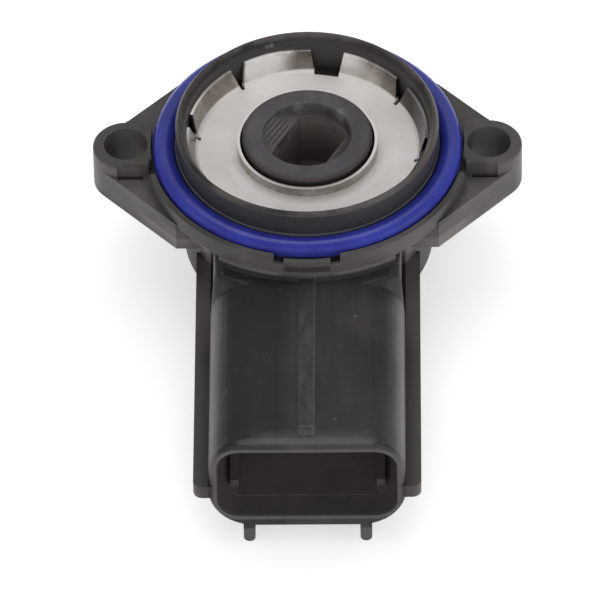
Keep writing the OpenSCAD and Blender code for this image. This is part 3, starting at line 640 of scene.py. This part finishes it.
def blue_rubber():
    """Dyed rubber with a soft gloss, painted darker as shade low down where it meets the flange, most at the
    front.
    """
    tones = (0.020, 0.026, 0.255), (0.032, 0.045, 0.36)
    ring_shade_tone = (0.022, 0.022, 0.100)
    material, tree, shader = new_material("blue_rubber")
    place = place_on_part(tree)
    where = position(tree, place)
    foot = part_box("o_ring")[0].z / MM
    colour = ramp(tree, noise(tree, place, 160.0), 0.35, 0.7, tones)
    # Painted shade low down on the ring, strongest at the front.
    ring_shade = product(tree, fade(tree, where.height, foot + 0.8, foot + 2.2, 0.85, 0.0),
                    fall(tree, where.along, -8.0, 2.0, rest=0.4))
    colour = painted(tree, colour, ring_shade, ring_shade_tone)
    shine = fade(tree, where.height, foot + 2.1, foot + 2.5, 0.14, 0.46)
    gloss = spread(tree, noise(tree, place, 700.0), 0.3, 0.7, 0.19, 0.29)
    normal = bump(tree, noise(tree, place, 330.0, detail=2.0), 0.05 * MM, strength=0.4)
    normal = bump(tree, noise(tree, place, 4000.0, detail=2.0), 0.004 * MM, strength=0.5, under=normal)
    connect(tree, shader, Base_Color=colour, Specular_IOR_Level=shine, Roughness=gloss, Normal=normal)
    return material


def sheet_steel(name, tones, roughness, tarnish_and_light=None):
    """Rolled sheet with faint rolling lines, light scratches and an oily haze, and a tint of tarnished
    places and painted light by place.
    """
    material, tree, shader = new_material(name, Metallic=1.0)
    place = place_on_part(tree)
    haze = noise(tree, place, 130.0, detail=4.0, roughness=0.6, distortion=0.5)
    rolled = streaked(tree, place, (3800, 160, 3800), detail=2.0)
    marks = any_of(tree, scratches(tree, place, scale=3800, turn=1.2, cut=0.69),
                   scratches(tree, place, scale=3300, turn=-0.2, cut=0.70))
    colour = ramp(tree, haze, 0.3, 0.68, tones)
    gloss = total(tree, spread(tree, haze, 0.3, 0.7, roughness + 0.06, roughness - 0.03),
                  product(tree, rolled, 0.06))
    gloss = total(tree, gloss, product(tree, marks, 0.08))
    if tarnish_and_light is not None:
        colour, gloss, metal = tarnish_and_light(tree, place, colour, gloss)
        connect(tree, shader, Metallic=metal)
    normal = bump(tree, rolled, 0.002 * MM, strength=0.5)
    normal = bump(tree, marks, -0.004 * MM, strength=0.4, under=normal)
    connect(tree, shader, Base_Color=colour, Roughness=gloss, Normal=normal)
    return material


def retainer_tarnish_and_light(tree, place, colour, gloss):
    """A matt, even plate, painted brighter as light by the front of the rim's foot and towards the back,
    with a shinier rim and fingers, which are brown in places and clean in others, partly tarnished and
    partly painted reflection.
    """
    foot, top = (corner.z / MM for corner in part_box("retainer_plate"))
    plate_light_tone = (0.95, 0.93, 0.91)
    where = position(tree, place)
    clouds = noise(tree, place, 260.0, detail=4.0, roughness=0.65, distortion=1.0)
    # Painted light on the plate by the front of the rim's foot and towards the back, where shade would fall.
    lit_front_foot = all_of(tree, within(tree, where.radius, 8.3, 9.4, edge=1.0),
                        fall(tree, where.along, -5.0, -2.0))
    at_back = rise(tree, where.along, 5.0, 9.0, top=0.6)
    colour = painted(tree, colour, any_of(tree, lit_front_foot, at_back), plate_light_tone)

    clean = any_of(tree, near(tree, place, (-5.4, 12.4, 1.2), size=2.3, edge=2.2),
                   near(tree, place, (4.9, 13.0, 1.5), size=0.7, edge=2.2))
    clean = product(tree, clean, spread(tree, clouds, 0.30, 0.55, 0.65, 1.0))
    finger = finger_colour(tree, place, where, clouds, clean, top)
    bent = rise(tree, where.height, foot + 0.6, foot + 0.9)
    on_finger = rise(tree, where.radius, 11.0, 12.0)
    bent_colour = mixed(tree, on_finger, rim_colour(tree, where, clouds, foot), finger)
    colour = painted(tree, colour, bent, bent_colour)

    shiny = product(tree, bent, maths(tree, "SUBTRACT", 1.0, clean))
    gloss = product(tree, gloss, spread(tree, shiny, 0.0, 1.0, 1.1, 0.45))
    metal = spread(tree, maths(tree, "SUBTRACT", shiny, lit_front_foot), -1.0, 1.0, 0.2, 1.0)
    return colour, gloss, metal


def rim_colour(tree, where, clouds, foot):
    """The rolled rim round the rotor, with a painted highlight line along its top."""
    tones = (0.28, 0.245, 0.215), (0.50, 0.475, 0.45)
    rim_highlight_tone = (0.92, 0.90, 0.88)
    rim_top = foot + 2.1
    # Painted highlight along the rim's top edge.
    rim_highlight_edge = rise(tree, where.height, rim_top - 0.13, rim_top - 0.06, top=0.8)
    return painted(tree, ramp(tree, clouds, 0.35, 0.62, tones), rim_highlight_edge, rim_highlight_tone)


def finger_colour(tree, place, where, clouds, clean, top):
    """Brown, paler and clean fingers, partly tarnished and partly painted reflection, with a warm spot,
    painted highlights on the top edges, and painted shade at front and right.
    """
    brown_tones = (0.27, 0.235, 0.21), (0.46, 0.425, 0.395)
    paler_tones = (0.52, 0.475, 0.44), (0.72, 0.68, 0.65)
    clean_and_reflection_tone = (0.84, 0.825, 0.805)
    warm_spot = (0.80, 0.70, 0.66)
    top_edge_highlight_tone = (0.95, 0.93, 0.91)
    # The brown, paler and clean tones stand partly for tarnished steel and partly for painted reflections of
    # the parts around.
    paler = within(tree, where.across, 3.0, 8.0, edge=2.0)
    finger = mixed(tree, paler, ramp(tree, clouds, 0.32, 0.68, brown_tones),
                   ramp(tree, clouds, 0.32, 0.68, paler_tones))
    finger = painted(tree, finger, clean, clean_and_reflection_tone)
    finger = painted(tree, finger, near(tree, place, (-1.8, 13.9, 1.9), size=0.35, edge=0.5), warm_spot)
    # Painted highlight along the fingers' top edges.
    at_top = rise(tree, where.height, top - 0.16, top - 0.08, top=0.85)
    finger = painted(tree, finger, at_top, top_edge_highlight_tone)
    # Painted shade on the fingers at the front and the right.
    shade = product(tree, fall(tree, where.across, 8.0, 12.5, rest=0.28),
                    fade(tree, where.along, -2.5, 3.0, 0.25, 1.0))
    return mixed(tree, 1.0, finger, shade, "MULTIPLY")


def circuit_board():
    """A pale board with a woven grain."""
    tones = (0.66, 0.62, 0.52), (0.84, 0.82, 0.75)
    material, tree, shader = new_material("board", Specular_IOR_Level=0.35)
    place = place_on_part(tree)
    fibres = streaked(tree, place, (3000, 260, 1), detail=2.0)
    crossing = streaked(tree, place, (260, 3000, 1), detail=2.0)
    weave = product(tree, total(tree, fibres, crossing), 0.5)
    connect(tree, shader, Base_Color=ramp(tree, weave, 0.35, 0.65, tones),
            Roughness=spread(tree, weave, 0.3, 0.7, 0.62, 0.48),
            Normal=bump(tree, weave, 0.01 * MM, strength=0.5))
    return material


def grained(name, tones, roughness, metallic):
    """A fine, even grain of tone and height, for printed tracks and solder."""
    material, tree, shader = new_material(name, Metallic=metallic)
    place = place_on_part(tree)
    grain = noise(tree, place, 3600.0)
    connect(tree, shader, Base_Color=ramp(tree, grain, 0.3, 0.7, tones),
            Roughness=spread(tree, grain, 0.3, 0.7, roughness + 0.1, roughness - 0.05),
            Normal=bump(tree, grain, 0.006 * MM, strength=0.6))
    return material


def make_materials():
    housing = (0.0130, 0.0125, 0.0115), (0.038, 0.0330, 0.0310)
    rotor = (0.046, 0.042, 0.045), (0.108, 0.099, 0.110)
    pressed = (0.75, 0.723, 0.706), (0.84, 0.818, 0.80)
    spring = (0.42, 0.41, 0.39), (0.60, 0.59, 0.57)
    bronze = (0.62, 0.42, 0.18), (0.80, 0.60, 0.30)
    carbon = (0.012, 0.012, 0.013), (0.035, 0.035, 0.038)
    silver = (0.50, 0.48, 0.43), (0.68, 0.66, 0.62)
    tinned = (0.62, 0.60, 0.55), (0.80, 0.79, 0.75)
    solder = (0.58, 0.58, 0.60), (0.76, 0.76, 0.78)
    return {
        "black_moulding": moulded_black("black_moulding", housing, roughness=0.42, tint=housing_tint),
        "rotor_moulding": moulded_black("rotor_moulding", rotor, roughness=0.40, tint=rotor_tint),
        "blue_rubber": blue_rubber(),
        "pressed_steel": sheet_steel("pressed_steel", pressed, roughness=0.48, tarnish_and_light=retainer_tarnish_and_light),
        "spring_steel": sheet_steel("spring_steel", spring, roughness=0.30),
        "spring_bronze": sheet_steel("spring_bronze", bronze, roughness=0.28),
        "board": circuit_board(),
        "carbon_print": grained("carbon_print", carbon, roughness=0.5, metallic=0.0),
        "silver_print": grained("silver_print", silver, roughness=0.4, metallic=0.9),
        "tinned_terminal": sheet_steel("tinned_terminal", tinned, roughness=0.24),
        "solder": grained("solder", solder, roughness=0.25, metallic=1.0),
    }


def wear(piece, material):
    piece.data.materials.clear()
    piece.data.materials.append(material)


# Pieces

def ring_point(low, high, turn, tilt, flash):
    """A point on a ring that fills a box. Turn goes round the collar, tilt round the ring's section."""
    section = (high.z - low.z) / 2
    mean = high.x - section
    margin = 0.03 * MM
    squeeze = 0.14 * MM
    swell = 1 + 0.006 * math.sin(5 * turn + 1) + 0.004 * math.sin(13 * turn)
    reach = (section - margin) * swell + flash
    radius = mean + reach * math.cos(tilt) + squeeze * min(0, math.cos(tilt))
    height = (low.z + high.z) / 2 + reach * math.sin(tilt)
    return radius * math.cos(turn), radius * math.sin(turn), height


def sealing_ring():
    """The ring round the collar, squeezed against it, with faint parting lines and an uneven section."""
    low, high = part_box("o_ring")
    around = 288
    across = 28
    parting_lines = (across // 4, 3 * across // 4)
    flash = 0.012 * MM
    shape = bmesh.new()
    rings = []
    for step in range(around):
        turn = 2 * math.pi * step / around
        ring = []
        for corner in range(across):
            tilt = 2 * math.pi * corner / across
            raised = flash if corner in parting_lines else 0
            ring.append(shape.verts.new(ring_point(low, high, turn, tilt, raised)))
        rings.append(ring)
    for ring, following in zip(rings, rings[1:] + rings[:1]):
        for corner in range(across):
            after = (corner + 1) % across
            shape.faces.new((ring[corner], following[corner], following[after], ring[after]))
    mesh = bpy.data.meshes.new("sealing_ring")
    shape.to_mesh(mesh)
    shape.free()
    shade_smooth(mesh)
    piece = add_object("sealing_ring", mesh)
    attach(piece, BODY_OF["o_ring"])
    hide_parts("o_ring")
    return piece


def dress(materials):
    """Makes the ring anew and rounds off eight pieces. The other nodes only get their material."""
    wear(sealing_ring(), materials["blue_rubber"])
    rounded = {
        "housing": ("housing_moulding", 0.22, 3),
        "rotor": ("rotor_moulding", 0.12, 2),
        "retainer_plate": ("retainer_pressing", 0.05, 2),
        "wiper": ("wiper_stamping", 0.03, 1),
        "terminal_supply": ("supply_blade", 0.06, 2),
        "terminal_signal": ("signal_blade", 0.06, 2),
        "terminal_ground": ("ground_blade", 0.06, 2),
        "element_board": ("element_carrier", 0.04, 1),
    }
    for node, (name, width, segments) in rounded.items():
        piece = detailed_copy(node, name, BODY_OF[node], width * MM, segments)
        wear(piece, materials[SLOT_OF[node]])
    for node in sorted(set(nodes) - set(rounded) - {"o_ring"}):
        wear(nodes[node], materials[SLOT_OF[node]])


# Floor and light

def floor_mesh():
    """A wide plane just under the guide ribs and the back edge of the cup, where the sensor rests."""
    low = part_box("housing")[0]
    rib_end = Vector((0, low.y + 12 * MM, low.z))
    cup_edge = Vector((0, 14.6 * MM, low.z + 3.95 * MM))
    gap = 0.02 * MM
    half_width = 3
    along = (cup_edge - rib_end).normalized()
    up = Vector((1, 0, 0)).cross(along)
    corners = [rib_end + Vector((half_width * x, 0, 0)) + along * half_width * y - up * gap
               for x, y in ((-1, -1), (1, -1), (1, 1), (-1, 1))]
    mesh = bpy.data.meshes.new("floor")
    mesh.from_pydata(corners, [], [(0, 1, 2, 3)])
    return mesh


def make_floor():
    """A pale matt floor. Its faint glow shows only to the camera and in reflections."""
    glow = 0.48
    floor = add_object("floor", floor_mesh())
    material, tree, shader = new_material("floor", Roughness=0.9, Specular_IOR_Level=0.1,
                                          Base_Color=(0.86, 0.86, 0.86, 1), Emission_Color=(1, 1, 1, 1))
    ray = tree.nodes.new("ShaderNodeLightPath").outputs
    seen = maths(tree, "MAXIMUM", ray["Is Camera Ray"], ray["Is Glossy Ray"])
    connect(tree, shader, Emission_Strength=product(tree, seen, glow))
    floor.data.materials.append(material)


def area_light(name, place, aim, width, height, power):
    light = bpy.data.lights.new(name, "AREA")
    light.shape = "RECTANGLE"
    light.size = width
    light.size_y = height
    light.energy = power
    lamp = bpy.data.objects.new(name, light)
    lamp.location = place
    lamp.rotation_euler = (Vector(aim) - Vector(place)).to_track_quat("-Z", "Y").to_euler()
    scene.collection.objects.link(lamp)


def make_lights():
    """Boxes above and behind, a broad strong one low in front, a small one at each side, and an even sky."""
    aim = (0, -0.015, 0)
    area_light("top_softbox", (-0.05, 0.3, 1.15), aim, width=1.0, height=0.65, power=3.0)
    area_light("back_softbox", (-0.05, 0.85, 0.75), aim, width=1.5, height=0.6, power=0.8)
    area_light("front_softbox", (0.1, -1.0, 0.36), aim, width=2.4, height=0.7, power=6.8)
    area_light("right_softbox", (0.9, -0.3, 0.25), aim, width=0.5, height=0.5, power=1.8)
    area_light("left_softbox", (-0.9, -0.3, 0.3), aim, width=0.5, height=0.5, power=1.2)
    make_sky(light=0.42, backdrop=1.0)


def make_sky(light, backdrop):
    """A white sky, with one strength as a light and another where the camera sees it."""
    world = bpy.data.worlds.new("studio")
    scene.world = world
    world.use_nodes = True
    tree = world.node_tree
    background = tree.nodes["Background"]
    seen = tree.nodes.new("ShaderNodeLightPath").outputs["Is Camera Ray"]
    connect(tree, background, Color=(1, 1, 1, 1), Strength=spread(tree, seen, 0.0, 1.0, light, backdrop))


make_camera()
dress(make_materials())
make_floor()
make_lights()
scene.view_settings.view_transform = "Standard"
